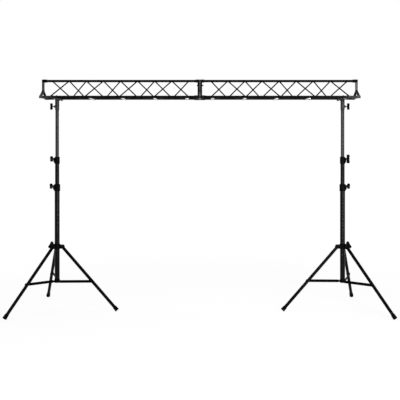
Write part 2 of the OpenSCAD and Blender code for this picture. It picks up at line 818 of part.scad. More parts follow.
on_stand(LEFT) leg_collar();  // left_leg_collar
on_stand(RIGHT) leg_collar();  // right_leg_collar
on_stand(LEFT) leg_pins();  // left_leg_pins
on_stand(RIGHT) leg_pins();  // right_leg_pins
on_stand(LEFT) leg_knob(leg_screw_turn[0]);  // left_leg_knob
on_stand(RIGHT) leg_knob(leg_screw_turn[1]);  // right_leg_knob
on_stand(LEFT) leg(inner_dir, STRAP_LEFT);  // left_inner_leg
on_stand(LEFT) leg(rear_dir, STRAP_LEFT);  // left_rear_leg
on_stand(LEFT) leg(front_dir, STRAP_LEFT);  // left_front_leg
on_stand(RIGHT) leg(inner_dir, STRAP_RIGHT);  // right_inner_leg
on_stand(RIGHT) leg(rear_dir, STRAP_RIGHT);  // right_rear_leg
on_stand(RIGHT) leg(front_dir, STRAP_RIGHT);  // right_front_leg
on_stand(LEFT) foot(inner_dir);  // left_inner_foot
on_stand(LEFT) foot(rear_dir);  // left_rear_foot
on_stand(LEFT) foot(front_dir);  // left_front_foot
on_stand(RIGHT) foot(inner_dir);  // right_inner_foot
on_stand(RIGHT) foot(rear_dir);  // right_rear_foot
on_stand(RIGHT) foot(front_dir);  // right_front_foot
on_stand(LEFT) brace(inner_dir, STRAP_LEFT);  // left_inner_brace
on_stand(LEFT) brace(rear_dir, STRAP_LEFT);  // left_rear_brace
on_stand(LEFT) brace(front_dir, STRAP_LEFT);  // left_front_brace
on_stand(RIGHT) brace(inner_dir, STRAP_RIGHT);  // right_inner_brace
on_stand(RIGHT) brace(rear_dir, STRAP_RIGHT);  // right_rear_brace
on_stand(RIGHT) brace(front_dir, STRAP_RIGHT);  // right_front_brace
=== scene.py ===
import json
import math

import bmesh
import bpy
from mathutils import Matrix, Vector


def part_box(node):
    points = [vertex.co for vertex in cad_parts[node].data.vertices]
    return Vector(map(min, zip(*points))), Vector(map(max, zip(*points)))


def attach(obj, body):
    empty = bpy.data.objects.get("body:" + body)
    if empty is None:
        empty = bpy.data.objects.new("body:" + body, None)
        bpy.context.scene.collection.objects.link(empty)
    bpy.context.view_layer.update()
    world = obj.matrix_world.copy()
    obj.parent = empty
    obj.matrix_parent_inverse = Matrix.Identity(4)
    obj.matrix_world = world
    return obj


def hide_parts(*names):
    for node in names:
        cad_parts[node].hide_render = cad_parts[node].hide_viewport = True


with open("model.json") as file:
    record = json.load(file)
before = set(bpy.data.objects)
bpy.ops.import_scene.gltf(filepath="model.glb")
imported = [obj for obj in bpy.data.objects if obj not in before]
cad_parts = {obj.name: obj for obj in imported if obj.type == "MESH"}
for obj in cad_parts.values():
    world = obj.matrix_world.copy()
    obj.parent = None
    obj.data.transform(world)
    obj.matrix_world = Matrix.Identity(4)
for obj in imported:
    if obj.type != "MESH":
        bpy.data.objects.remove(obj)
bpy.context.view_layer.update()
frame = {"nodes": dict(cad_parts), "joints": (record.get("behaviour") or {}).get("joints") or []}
scene = bpy.context.scene
nodes = frame["nodes"]
joints = {j["name"]: j for j in frame["joints"]}
mm = 0.001
up = Vector((0, 0, 1))
sides = {"left": -1, "right": 1}
legNames = ("inner", "rear", "front")


# sRGB hex to linear
def linear(hexText):
    out = []
    for i in (1, 3, 5):
        c = int(hexText[i:i + 2], 16) / 255
        out.append(c / 12.92 if c <= 0.04045 else ((c + 0.055) / 1.055) ** 2.4)
    return (*out, 1.0)


# adds a node with its settings, and sets or links its inputs
def addNode(tree, kind, inputs=None, **settings):
    node = tree.nodes.new(kind)
    for name, value in settings.items():
        setattr(node, name, value)
    for key, value in (inputs or {}).items():
        if isinstance(value, bpy.types.NodeSocket):
            tree.links.new(value, node.inputs[key])
        else:
            node.inputs[key].default_value = value
    return node


# every finish here is a thin skin over one colour: clouds of handling grease change the gloss,
# long rubs along the piece and its worn edges show a second colour, and a grain lifts the surface,
# drawn coarser than it is so that it shows close up
skin = dict(cloudBand=(0.3, 0.7), rubFade=0.22, edgeBand=(0.53, 0.62))


def finish(name, look):
    mat = bpy.data.materials.new(name)
    mat.use_nodes = True
    tree = mat.node_tree
    shader = tree.nodes["Principled BSDF"]
    shader.inputs["Metallic"].default_value = look.get("metallic", 0.0)
    if "specular" in look:
        shader.inputs["Specular IOR Level"].default_value = look["specular"]
    at = addNode(tree, "ShaderNodeTexCoord").outputs["Object"]
    cloud = addNode(tree, "ShaderNodeTexNoise", {
        "Vector": at, "Scale": 1 / (look["cloudMm"] * mm), "Detail": 3.0})
    gloss = addNode(tree, "ShaderNodeMapRange", {
        "Value": cloud.outputs["Fac"], "From Min": skin["cloudBand"][0], "From Max": skin["cloudBand"][1],
        "To Min": look["rough"][0], "To Max": look["rough"][1]})
    tree.links.new(gloss.outputs["Result"], shader.inputs["Roughness"])
    stretch = addNode(tree, "ShaderNodeMapping", {
        "Vector": at, "Scale": [1 / (size * mm) for size in look["rubMm"]]})
    rub = addNode(tree, "ShaderNodeTexNoise", {
        "Vector": stretch.outputs[0], "Scale": 1.0, "Detail": 4.0, "Roughness": 0.65})
    bare = addNode(tree, "ShaderNodeMapRange", {
        "Value": rub.outputs["Fac"],
        "From Min": look["rubFrom"], "From Max": look["rubFrom"] + skin["rubFade"],
        "To Min": 0.0, "To Max": look["rubShare"]})
    bend = addNode(tree, "ShaderNodeNewGeometry").outputs["Pointiness"]
    edge = addNode(tree, "ShaderNodeMapRange", {
        "Value": bend, "From Min": skin["edgeBand"][0], "From Max": skin["edgeBand"][1],
        "To Min": 0.0, "To Max": look.get("edge", 0.0)})
    worn = addNode(tree, "ShaderNodeMath", {
        0: bare.outputs["Result"], 1: edge.outputs["Result"]}, operation="MAXIMUM")
    colour = addNode(tree, "ShaderNodeMix", {
        0: worn.outputs[0], 6: linear(look["base"]), 7: linear(look["rubbed"])}, data_type="RGBA")
    if "ends" in look:  # painted highlight: the outer ends of the front chord are painted grey for the light that falls on them, while the rear chord stays black
        ends = look["ends"]
        spot = addNode(tree, "ShaderNodeSeparateXYZ", {0: at}).outputs
        along = addNode(tree, "ShaderNodeMath", {0: spot["X"]}, operation="ABSOLUTE")
        past = addNode(tree, "ShaderNodeMapRange", {
            "Value": along.outputs[0], "From Min": ends["from"] * mm, "From Max": ends["to"] * mm})
        front = addNode(tree, "ShaderNodeMath", {0: spot["Y"], 1: ends["front"] * mm}, operation="LESS_THAN")
        both = addNode(tree, "ShaderNodeMath", {
            0: past.outputs[0], 1: front.outputs[0]}, operation="MULTIPLY")
        colour = addNode(tree, "ShaderNodeMix", {
            0: both.outputs[0], 6: colour.outputs[2], 7: linear(ends["colour"])}, data_type="RGBA")
    tree.links.new(colour.outputs[2], shader.inputs["Base Color"])
    grain = addNode(tree, "ShaderNodeTexNoise", {
        "Vector": at, "Scale": 1 / (look["grainMm"] * mm), "Detail": 2.0})
    lift = addNode(tree, "ShaderNodeBump", {
        "Height": grain.outputs["Fac"], "Distance": look["depthMm"] * mm, "Strength": 1.0})
    tree.links.new(lift.outputs[0], shader.inputs["Normal"])
    return mat


# satin black enamel sprayed on steel tube: deep black with a faint highlight, orange peel and long dull rubs
satin = dict(base="#030303", rubbed="#0e0e0f", rough=(0.28, 0.42), specular=0.035, cloudMm=140,
             rubMm=(260, 14, 14), rubFrom=0.50, rubShare=0.6, grainMm=3.5, depthMm=0.03)
trussEnamel = finish("satinEnamelOnSteelTube", dict(satin, edge=0.5))
# the same enamel on the chords, with a painted highlight: grey on the outer ends of the front chord for the
# light they catch
chordEnamelWithPaintedHighlight = finish("satinEnamelOnChordTubeWithPaintedHighlight", dict(
    satin, ends={"from": 1350, "to": 1385, "front": -150, "colour": "#3a3a3c"}))
# the same enamel on thin round bar, dulled by carrying and stacking
strutEnamel = finish("wornEnamelOnSteelRod", dict(
    base="#030303", rubbed="#0f0f10", rough=(0.32, 0.48), specular=0.03, cloudMm=90,
    rubMm=(40, 40, 40), rubFrom=0.46, rubShare=0.7, grainMm=3.0, depthMm=0.03))
# enamel on the frames' posts, forks and flanges: a greyer copy of the truss enamel, painted light for the
# lamps that these faces catch, with scuffed patches where they take the knocks
frameEnamelWithPaintedLight = finish("scuffedEnamelWithPaintedLightOnSteelBar", dict(
    base="#2e2e30", rubbed="#5a5a5d", rough=(0.36, 0.54), specular=0.34, cloudMm=60,
    rubMm=(18, 40, 60), rubFrom=0.45, rubShare=0.8, grainMm=3.0, depthMm=0.04, edge=0.6))
# black powder coat on the fixed column tube: even, smooth, with a narrow highlight
columnCoat = finish("powderCoatOnSteelTube", dict(
    base="#020203", rubbed="#0b0b0c", rough=(0.16, 0.18), specular=0.09, cloudMm=160,
    rubMm=(14, 14, 240), rubFrom=0.52, rubShare=0.5, grainMm=2.2, depthMm=0.003, edge=0.5))
# the same coat on the legs, dulled by handling
legCoat = finish("dulledPowderCoatOnSteelTube", dict(
    base="#020203", rubbed="#0b0b0c", rough=(0.20, 0.30), specular=0.03, cloudMm=120,
    rubMm=(30, 30, 160), rubFrom=0.50, rubShare=0.6, grainMm=2.2, depthMm=0.03, edge=0.5))
# matt powder coat on the rolled straps of the braces: no highlight, worn along its edges
strapCoat = finish("mattPowderCoatOnSteelStrap", dict(
    base="#020203", rubbed="#0d0d0e", rough=(0.58, 0.70), specular=0.02, cloudMm=120,
    rubMm=(30, 30, 160), rubFrom=0.50, rubShare=0.6, grainMm=2.2, depthMm=0.03, edge=0.5))
# enamel on the middle tube, little used: black with a few upright rubs
midEnamel = finish("rubbedEnamelOnSteelTube", dict(
    base="#030304", rubbed="#111112", rough=(0.23, 0.27), specular=0.08, cloudMm=110,
    rubMm=(5, 5, 380), rubFrom=0.48, rubShare=0.7, grainMm=3.0, depthMm=0.02))
# enamel on the upper tube: greyer and shinier than the lower tubes, with upright rubs
slideEnamel = finish("greyerShinierEnamelOnSteelTube", dict(
    base="#121213", rubbed="#363638", rough=(0.28, 0.40), specular=0.26, cloudMm=110,
    rubMm=(5, 5, 380), rubFrom=0.42, rubShare=0.75, grainMm=3.0, depthMm=0.02))
# enamel on the adapters, rubbed grey by handling
adapterEnamel = finish("handledEnamelOnSteelPlate", dict(
    base="#101011", rubbed="#39393b", rough=(0.30, 0.42), specular=0.26, cloudMm=70,
    rubMm=(16, 16, 60), rubFrom=0.42, rubShare=0.75, grainMm=3.0, depthMm=0.03, edge=0.5))
# powder-coated aluminium casting: sandy skin under the coat, worn paler at the corners
castCoat = finish("powderCoatOnAluminiumCasting", dict(
    base="#030303", rubbed="#161617", rough=(0.42, 0.58), specular=0.035, cloudMm=40,
    rubMm=(12, 12, 12), rubFrom=0.58, rubShare=0.6, grainMm=1.6, depthMm=0.12, edge=0.6))
# moulded glass-filled nylon: dull black with a spark-eroded mould texture, paler where hands rub it
handleNylon = finish("mouldedNylon", dict(
    base="#020203", rubbed="#0e0e0f", rough=(0.46, 0.60), specular=0.035, cloudMm=25,
    rubMm=(10, 10, 10), rubFrom=0.55, rubShare=0.6, grainMm=0.9, depthMm=0.06, edge=0.6))
# vulcanised rubber: matt black with floor dust
footRubber = finish("vulcanisedRubber", dict(
    base="#040404", rubbed="#1b1a18", rough=(0.72, 0.90), specular=0.04, cloudMm=22,
    rubMm=(9, 9, 5), rubFrom=0.58, rubShare=0.5, grainMm=1.2, depthMm=0.08, edge=0.5))
# bright zinc plate on rolled strap: silvery, faintly blue, with rolling lines along the strap
zincPlate = finish("brightZincOnSteelStrap", dict(
    base="#c3c6c8", rubbed="#9a9da0", metallic=1.0, rough=(0.26, 0.40), cloudMm=18,
    rubMm=(3, 120, 3), rubFrom=0.45, rubShare=0.7, grainMm=1.5, depthMm=0.02))
# black zinc on bolts, rivets and rod: near-black metal with steel showing on the corners
blackZinc = finish("blackZincOnSteelBolt", dict(
    base="#101011", rubbed="#343436", metallic=1.0, rough=(0.34, 0.48), cloudMm=9,
    rubMm=(4, 4, 4), rubFrom=0.60, rubShare=0.6, grainMm=1.2, depthMm=0.02, edge=0.7))
# turned aluminium bar: fine rings across the bar
turnedAlloy = finish("turnedAluminiumBar", dict(
    base="#b9babc", rubbed="#8f9092", metallic=1.0, rough=(0.25, 0.35), cloudMm=20,
    rubMm=(1, 30, 30), rubFrom=0.45, rubShare=0.6, grainMm=1.0, depthMm=0.02))
# moulded acetal: waxy black plastic
glideAcetal = finish("mouldedAcetal", dict(
    base="#070708", rubbed="#131314", rough=(0.34, 0.44), specular=0.05, cloudMm=20,
    rubMm=(6, 6, 60), rubFrom=0.5, rubShare=0.6, grainMm=1.5, depthMm=0.03))
print("finishes:", len(bpy.data.materials))

# CAD pieces whose shape is right take the finishes as they are
cadFinish = {
    chordEnamelWithPaintedHighlight: ["left_chords", "right_chords"],
    strutEnamel: ["left_lattice", "right_lattice"],
    turnedAlloy: ["joint_spigots"],
    columnCoat: [], legCoat: [], midEnamel: [], slideEnamel: [], glideAcetal: [],
}
for side in sides:
    cadFinish[columnCoat].append(f"{side}_lower_tube")
    cadFinish[legCoat] += [f"{side}_{leg}_leg" for leg in legNames]
    cadFinish[midEnamel].append(f"{side}_mid_tube")
    cadFinish[slideEnamel].append(f"{side}_upper_tube")
    cadFinish[glideAcetal] += [f"{side}_mid_glide", f"{side}_upper_glide"]
for mat, names in cadFinish.items():
    for name in names:
        nodes[name].data.materials.clear()
        nodes[name].data.materials.append(mat)


def addObject(name, mesh, mat=None):
    obj = bpy.data.objects.new(name, mesh)
    scene.collection.objects.link(obj)
    if mat:
        mesh.materials.clear()
        mesh.materials.append(mat)
    return obj


def shade(mesh, angle):
    mesh.polygons.foreach_set("use_smooth", [True] * len(mesh.polygons))
    mesh.set_sharp_from_angle(angle=math.radians(angle))


# turns a built bmesh into a finished object
def fromBmesh(name, bm, mat=None, angle=35):
    bmesh.ops.recalc_face_normals(bm, faces=bm.faces)
    mesh = bpy.data.meshes.new(name)
    bm.to_mesh(mesh)
    bm.free()
    shade(mesh, angle)
    return addObject(name, mesh, mat)


# keeps what the modifiers make, as a plain mesh
def settle(obj, angle=None):
    mesh = bpy.data.meshes.new_from_object(obj.evaluated_get(bpy.context.evaluated_depsgraph_get()))
    obj.modifiers.clear()
    obj.data = mesh
    if angle:
        shade(mesh, angle)
    return obj


# hands a finished piece to its body, and hides the nodes that it stands for
def place(obj, body, slot, *stoodFor):
    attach(obj, body)
    if stoodFor:
        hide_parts(*stoodFor)
    return obj


# rounds the corners of an open profile of (radius, height) points
def rounded(points, radius, steps=4):
    points = [Vector(p) for p in points]
    out = [points[0]]
    for before, corner, after in zip(points, points[1:], points[2:]):
        reach = min(radius, (before - corner).length * 0.48, (after - corner).length * 0.48)
        a = corner + (before - corner).normalized() * reach
        b = corner + (after - corner).normalized() * reach
        for i in range(steps + 1):
            t = i / steps
            out.append(a * (1 - t) ** 2 + corner * 2 * t * (1 - t) + b * t ** 2)
    return [(p.x, p.y) for p in out + [points[-1]]]


# turns a profile in mm about local Z
def lathe(bm, profile, matrix, steps=40):
    turns = [2 * math.pi * i / steps for i in range(steps)]
    rings = []
    for r, z in profile:
        around = turns[:1] if r < 1e-6 else turns
        spots = [Vector((r * mm * math.cos(a), r * mm * math.sin(a), z * mm)) for a in around]
        rings.append([bm.verts.new(matrix @ spot) for spot in spots])
    for a, b in zip(rings, rings[1:]):
        for i in range(steps):
            j = (i + 1) % steps
            corners = [a[i % len(a)], a[j % len(a)], b[j % len(b)], b[i % len(b)]]
            corners = list(dict.fromkeys(corners))
            if len(corners) > 2:
                bm.faces.new(corners)


# a frame at a point, with local Z along one direction and local X near another
def frameAt(point, zAxis, xNear):
    z = Vector(zAxis).normalized()
    y = z.cross(Vector(xNear)).normalized()
    x = y.cross(z)
    return Matrix.Translation(point) @ Matrix((x, y, z)).transposed().to_4x4()


# the column's axis at the floor
def columnFoot(side):
    low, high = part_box(f"{side}_lower_tube")
    return Vector(((low.x + high.x) / 2, (low.y + high.y) / 2, 0))


# outward direction, sideways direction and pivot of a joint on a stand
def spoke(side, jointName):
    pivot = Vector(joints[jointName]["pos_m"])
    out = pivot - columnFoot(side)
    out.z = 0
    out.normalize()
    return out, up.cross(out), pivot


# truss: radii of its chords and struts, and where they lie
truss = dict(height=160, width=260, chord=12, strut=6, section=1512, start=105, end=97, panels=8)
low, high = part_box("left_chords")
chordMid = Vector((0, (low.y + high.y) / 2, low.z + truss["chord"] * mm))
chordSpots = {"top": (0, truss["height"]), "front": (-truss["width"] / 2, 0), "rear": (truss["width"] / 2, 0)}
panel = (truss["section"] - truss["start"] - truss["end"]) / truss["panels"]


def onTruss(x, chord):
    y, z = chordSpots[chord]
    return chordMid + Vector((x, y, z)) * mm


# cast and welded pieces: the solid's own form, with soft edges and filled corners
castLook = dict(
    collars=dict(voxelMm=0.95, rounds=5, keep=0.5),
    hubs=dict(voxelMm=1.0, rounds=5, keep=0.5),
    adapters=dict(voxelMm=1.15, rounds=4, keep=0.5),
    frames=dict(voxelMm=1.35, rounds=4, keep=0.45),
)
# faces with the greyer finish, in mm from the middle of the bottom chords: end posts, fork ends and middle
# flanges; its grey is painted light, with scuffs
scuffsAndPaintedLight = dict(postHalf=13, postFrom=72, postTo=143, forkFrom=112, forkHalf=14, flangeHalf=6.5)


# remeshes a piece to one skin and softens its edges and corners
def soften(obj, look, angle):
    mats = list(obj.data.materials)
    remesh = obj.modifiers.new("skin", "REMESH")
    remesh.mode = "VOXEL"
    remesh.voxel_size = look["voxelMm"] * mm
    smooth = obj.modifiers.new("soften", "SMOOTH")
    smooth.factor = 0.5
    smooth.iterations = look["rounds"]
    thin = obj.modifiers.new("thin", "DECIMATE")
    thin.ratio = look["keep"]
    settle(obj, angle)
    obj.data.materials.clear()
    for mat in mats:
        obj.data.materials.append(mat)
    return obj


def softCopy(node, look, mat, name):
    bm = bmesh.new()
    bm.from_mesh(nodes[node].data)
    bmesh.ops.remove_doubles(bm, verts=bm.verts, dist=1e-6)
    mesh = bpy.data.meshes.new(name)
    bm.to_mesh(mesh)
    bm.free()
    return soften(addObject(name, mesh, mat), look, angle=60)


# a second finish on the faces that pass a test
def tint(obj, mat, test):
    obj.data.materials.append(mat)
    for face in obj.data.polygons:
        if test((face.center - chordMid) / mm):
            face.material_index = 1


def onPostOrFork(p):
    onPost = abs(p.y) < scuffsAndPaintedLight["postHalf"] and scuffsAndPaintedLight["postFrom"] < p.z < scuffsAndPaintedLight["postTo"]
    onFork = abs(p.y) > scuffsAndPaintedLight["forkFrom"] and abs(p.z) < scuffsAndPaintedLight["forkHalf"]
    return onPost or onFork


def onFlange(p):
    return abs(p.x) < scuffsAndPaintedLight["flangeHalf"]


for side in sides:
    base = f"{side}_base"
    collars = {"lower_collar": base, "upper_collar": f"{side}_mid", "leg_collar": f"{side}_leg_slider"}
    for collar, body in collars.items():
        casting = softCopy(f"{side}_{collar}", castLook["collars"], castCoat, f"{side}_{collar}Casting")
        place(casting, body, "collar_cast", f"{side}_{collar}")
    hub = softCopy(f"{side}_hub", castLook["hubs"], castCoat, f"{side}HubCasting")
    place(hub, base, "collar_cast", f"{side}_hub")
    adapter = softCopy(f"{side}_adapter", castLook["adapters"], adapterEnamel, f"{side}AdapterWeldment")
    place(adapter, "truss", "column_paint", f"{side}_adapter")
    endFrame = softCopy(f"{side}_end_frame", castLook["frames"], trussEnamel, f"{side}EndFrameWeldment")
    # painted light: the posts and fork ends take the greyer finish for the light they catch
    tint(endFrame, frameEnamelWithPaintedLight, onPostOrFork)
    place(endFrame, "truss", "frame_paint", f"{side}_end_frame")
    jointFrame = softCopy(
        f"{side}_joint_frame", castLook["frames"], trussEnamel, f"{side}JointFrameWeldment")
    # painted light: the flanges' edges take the greyer finish for the light they catch
    tint(jointFrame, frameEnamelWithPaintedLight, onFlange)
    place(jointFrame, "truss", "truss_paint", f"{side}_joint_frame")
print("castings and weldments done")

# moulded T-handles on their clamping screws
handle = dict(waist=0.867, waistSlope=1.5, dome=8, domePower=2.4, steps=32,
              neckRadius=7.5, flare=9.4, flareRise=1, neckSoft=1.0, voxelMm=0.8, rounds=6, keep=0.5)
thread = dict(radius=4, pitch=1.25, depth=0.6, into=9, over=2)
# face of the boss from the column's axis, bare screw, neck, the bar's radius and length,
# and how far the bar is turned from upright at rest, left and right
screws = {
    "lower_screw": dict(face=40.0, bare=0.5, neck=1, radius=15, length=86, turns=(67, 66)),
    "upper_screw": dict(face=36.0, bare=0.5, neck=1, radius=15, length=86, turns=(67, 8)),
    "adapter_screw": dict(face=31.0, bare=10.0, neck=1, radius=13, length=64, turns=(0, 0)),
    "leg_screw": dict(face=47.25, bare=0.5, neck=1, radius=15, length=86, turns=(118, 118)),
}


def tHandle(s, name):
    bm = bmesh.new()
    half, waist = s["length"] / 2, s["radius"] * handle["waist"]
    bar = []
    for i in range(handle["steps"] + 1):  # domed ends and a waisted middle
        t = -1 + 2 * i / handle["steps"]
        swell = waist + (s["radius"] - waist) * min(1, abs(t) * handle["waistSlope"]) ** 2
        past = max(0, abs(t) * half - half + handle["dome"]) / handle["dome"]
        bar.append((swell * math.sqrt(max(0, 1 - past ** handle["domePower"])), t * half))
    bar[0], bar[-1] = (0, -half), (0, half)
    thin, flare = handle["neckRadius"], handle["flare"]
    centre = s["neck"] + s["radius"]
    stem = [(0, 0), (thin, 0), (flare, s["neck"] + handle["flareRise"]), (flare, centre), (0, centre)]
    lathe(bm, bar, frameAt(Vector((0, 0, centre * mm)), (1, 0, 0), (0, 1, 0)))
    lathe(bm, rounded(stem, handle["neckSoft"]), Matrix())
    return soften(fromBmesh(name, bm, handleNylon), handle, angle=70)


# the screw's thread from inside the boss to inside the neck
def screwThread(s, name):
    bottom, top = -s["bare"] - thread["into"], thread["over"]
    profile = [(0, bottom)]
    for i in range(int((top - bottom) / thread["pitch"])):
        z = bottom + i * thread["pitch"]
        profile += [(thread["radius"] - thread["depth"], z), (thread["radius"], z + thread["pitch"] / 2)]
    bm = bmesh.new()
    lathe(bm, profile + [(0, top)], Matrix(), steps=28)
    return fromBmesh(name, bm, blackZinc, angle=20)


for kind, s in screws.items():
    masters = {
        "Handle": (tHandle(s, kind + "Handle"), "knob_plastic"),
        "Screw": (screwThread(s, kind + "Screw"), "black_zinc"),
    }
    for i, (side, sign) in enumerate(sides.items()):
        joint = joints[f"{side}_{kind}_turn"]
        outward = Vector(joint["axis"]).normalized()
        axis = columnFoot(side)
        seat = Vector((axis.x, axis.y, joint["pos_m"][2])) + outward * (s["face"] + s["bare"]) * mm
        sideways = Vector((-outward.y, outward.x, 0)) * sign
        turn = math.radians(s["turns"][i])
        barAlong = up * math.cos(turn) - sideways * math.sin(turn)
        for piece, (master, slot) in masters.items():
            mesh = master.data.copy()
            mesh.transform(frameAt(seat, outward, barAlong))
            obj = addObject(f"{side}{kind.title().replace('_', '')}{piece}", mesh)
            place(obj, f"{side}_{kind}", slot, f"{side}_{kind.replace('screw', 'knob')}")
    for master, slot in masters.values():
        bpy.data.objects.remove(master)
print("T-handles done")

# rubber feet, moulded with grip rings and worn flat where they stand: heights above the sole,
# with the rings told from the taper, the lip from the mouth's radius and the socket from the tube's
foot = dict(length=44, sole=20.0, soleEdge=1.2, plain=7, mouth=18.0, legLength=803, tubeRadius=15, floor=8,
            rings=4, ringFrom=10, ringPitch=6.5, ring=((0, 0), (-0.9, 0.9), (-0.9, 2.3), (-0.2, 3.2)),
            lip=((0.2, 38), (0.3, 42), (-0.6, 44)), socket=((0.4, 44), (0.1, 43), (0.1, 8)),
            soft=0.6, worn=0.02)
# radius and height above the leg's pivot
plugProfile = [(0, 10), (13.1, 10), (13.1, 12.1), (12.3, 12.9), (9, 13.4), (0, 13.6)]
legAngle = math.radians(43)


# the way a leg runs down from its pivot
def legDown(out):
    return out * math.sin(legAngle) - up * math.cos(legAngle)


def rubberFoot(side, leg):
    out, along, pivot = spoke(side, f"{side}_{leg}_leg_swing")
    down = legDown(out)
    end = pivot + down * foot["legLength"] * mm
    sole, edge, plain = foot["sole"], foot["soleEdge"], foot["plain"]
    profile = [(0, 0), (sole - edge, 0), (sole, edge), (sole, plain)]
    for i in range(foot["rings"]):
        h = foot["ringFrom"] + i * foot["ringPitch"]
        r = sole + (foot["mouth"] - sole) * (h - plain) / (foot["length"] - plain)
        profile += [(r + wider, h + higher) for wider, higher in foot["ring"]]
    profile += [(foot["mouth"] + wider, h) for wider, h in foot["lip"]]
    profile += [(foot["tubeRadius"] + wider, h) for wider, h in foot["socket"]]
    profile.append((0, foot["floor"]))
    bm = bmesh.new()
    lathe(bm, rounded(profile, foot["soft"], steps=2), frameAt(end, -down, along), steps=56)
    bmesh.ops.recalc_face_normals(bm, faces=bm.faces)
    cut = bmesh.ops.bisect_plane(bm, geom=bm.verts[:] + bm.edges[:] + bm.faces[:], dist=1e-7,
                                 plane_co=up * foot["worn"] * mm, plane_no=-up, clear_outer=True)
    bmesh.ops.holes_fill(bm, edges=[e for e in cut["geom_cut"] if isinstance(e, bmesh.types.BMEdge)])
    return fromBmesh(f"{side}{leg.title()}RubberFoot", bm, footRubber, angle=30)


# plug in the upper end of each leg tube, just under its edge
def legPlug(side, leg):
    out, along, pivot = spoke(side, f"{side}_{leg}_leg_swing")
    bm = bmesh.new()
    lathe(bm, plugProfile, frameAt(pivot, -legDown(out), along), steps=32)
    return fromBmesh(f"{side}{leg.title()}LegPlug", bm, glideAcetal)


for side in sides:
    for leg in legNames:
        place(rubberFoot(side, leg), f"{side}_{leg}_leg_tube", "foot_rubber", f"{side}_{leg}_foot")
        place(legPlug(side, leg), f"{side}_{leg}_leg_tube", "glide_plastic")
print("feet and leg plugs done")


# an empty node tree with named inputs, the inputs' identifiers, and its input node's sockets
def newTree(name, inputs, output):
    tree = bpy.data.node_groups.new(name, "GeometryNodeTree")
    sockets = {}
    for label, kind in inputs.items():
        socket = tree.interface.new_socket(label, in_out="INPUT", socket_type="NodeSocket" + kind)
        sockets[label] = socket.identifier
    tree.interface.new_socket(output, in_out="OUTPUT", socket_type="NodeSocketGeometry")
    return tree, sockets, addNode(tree, "NodeGroupInput").outputs


# node tree: heads set on points, each facing the way its point says, turned at random about that
def headsTree():
    tree, sockets, given = newTree("headsOnPoints", {
        "Points": "Geometry", "Head": "Object", "Turn": "Float", "Finish": "Material"}, "Heads")
    facing = addNode(tree, "GeometryNodeInputNamedAttribute", {"Name": "facing"}, data_type="FLOAT_VECTOR")
    aim = addNode(tree, "FunctionNodeAlignRotationToVector", {"Vector": facing.outputs[0]}, axis="Z")
    chance = addNode(tree, "FunctionNodeRandomValue", {
        2: 0.0, 3: given["Turn"], "Seed": 7}, data_type="FLOAT")
    spin = addNode(tree, "FunctionNodeAxisAngleToRotation", {"Axis": (0, 0, 1), "Angle": chance.outputs[1]})
    both = addNode(tree, "FunctionNodeRotateRotation", {
        "Rotation": aim.outputs[0], "Rotate By": spin.outputs[0]}, rotation_space="LOCAL")
    shape = addNode(tree, "GeometryNodeObjectInfo", {"Object": given["Head"]})
    copies = addNode(tree, "GeometryNodeInstanceOnPoints", {
        "Points": given["Points"], "Instance": shape.outputs["Geometry"], "Rotation": both.outputs[0]})
    solid = addNode(tree, "GeometryNodeRealizeInstances", {0: copies.outputs[0]})
    dressed = addNode(tree, "GeometryNodeSetMaterial", {
        "Geometry": solid.outputs[0], "Material": given["Finish"]})
    addNode(tree, "NodeGroupOutput", {0: dressed.outputs[0]})
    return tree, sockets


# node tree: beads laid one after another along welded seams
def seamTree():
    tree, sockets, given = newTree("weldSeams", {
        "Seams": "Geometry", "Bead Pitch": "Float", "Bead Size": "Float", "Finish": "Material"}, "Beads")
    path = addNode(tree, "GeometryNodeMeshToCurve", {"Mesh": given["Seams"]})
    even = addNode(tree, "GeometryNodeResampleCurve", {
        "Curve": path.outputs[0], "Length": given["Bead Pitch"]}, mode="LENGTH")
    tangent = addNode(tree, "GeometryNodeInputTangent")
    aim = addNode(tree, "FunctionNodeAlignRotationToVector", {"Vector": tangent.outputs[0]}, axis="X")
    bead = addNode(tree, "GeometryNodeMeshIcoSphere", {"Radius": 1.0, "Subdivisions": 2})
    chance = addNode(tree, "FunctionNodeRandomValue", {2: 0.85, 3: 1.15, "Seed": 3}, data_type="FLOAT")
    size = addNode(tree, "ShaderNodeMath", {
        0: given["Bead Size"], 1: chance.outputs[1]}, operation="MULTIPLY")
    copies = addNode(tree, "GeometryNodeInstanceOnPoints", {
        "Points": even.outputs[0], "Instance": bead.outputs["Mesh"],
        "Rotation": aim.outputs[0], "Scale": size.outputs[0]})
    solid = addNode(tree, "GeometryNodeRealizeInstances", {0: copies.outputs[0]})
    smooth = addNode(tree, "GeometryNodeSetShadeSmooth", {"Geometry": solid.outputs[0], "Shade Smooth": True})
    dressed = addNode(tree, "GeometryNodeSetMaterial", {
        "Geometry": smooth.outputs[0], "Material": given["Finish"]})
    addNode(tree, "NodeGroupOutput", {0: dressed.outputs[0]})
    return tree, sockets


# node tree: round rod bent along a path
def rodTree():
    tree, sockets, given = newTree("bentRod", {
        "Path": "Geometry", "Rod Radius": "Float", "Finish": "Material"}, "Rod")
    path = addNode(tree, "GeometryNodeMeshToCurve", {"Mesh": given["Path"]})
    ring = addNode(tree, "GeometryNodeCurvePrimitiveCircle", {
        "Resolution": 20, "Radius": given["Rod Radius"]}, mode="RADIUS")
    rod = addNode(tree, "GeometryNodeCurveToMesh", {
        "Curve": path.outputs[0], "Profile Curve": ring.outputs[0], "Fill Caps": True})
    smooth = addNode(tree, "GeometryNodeSetShadeSmooth", {"Geometry": rod.outputs[0], "Shade Smooth": True})
    solid = addNode(tree, "GeometryNodeRealizeInstances", {0: smooth.outputs[0]})
    dressed = addNode(tree, "GeometryNodeSetMaterial", {
        "Geometry": solid.outputs[0], "Material": given["Finish"]})
    addNode(tree, "NodeGroupOutput", {0: dressed.outputs[0]})
    return tree, sockets


trees = dict(heads=headsTree(), seams=seamTree(), rod=rodTree())


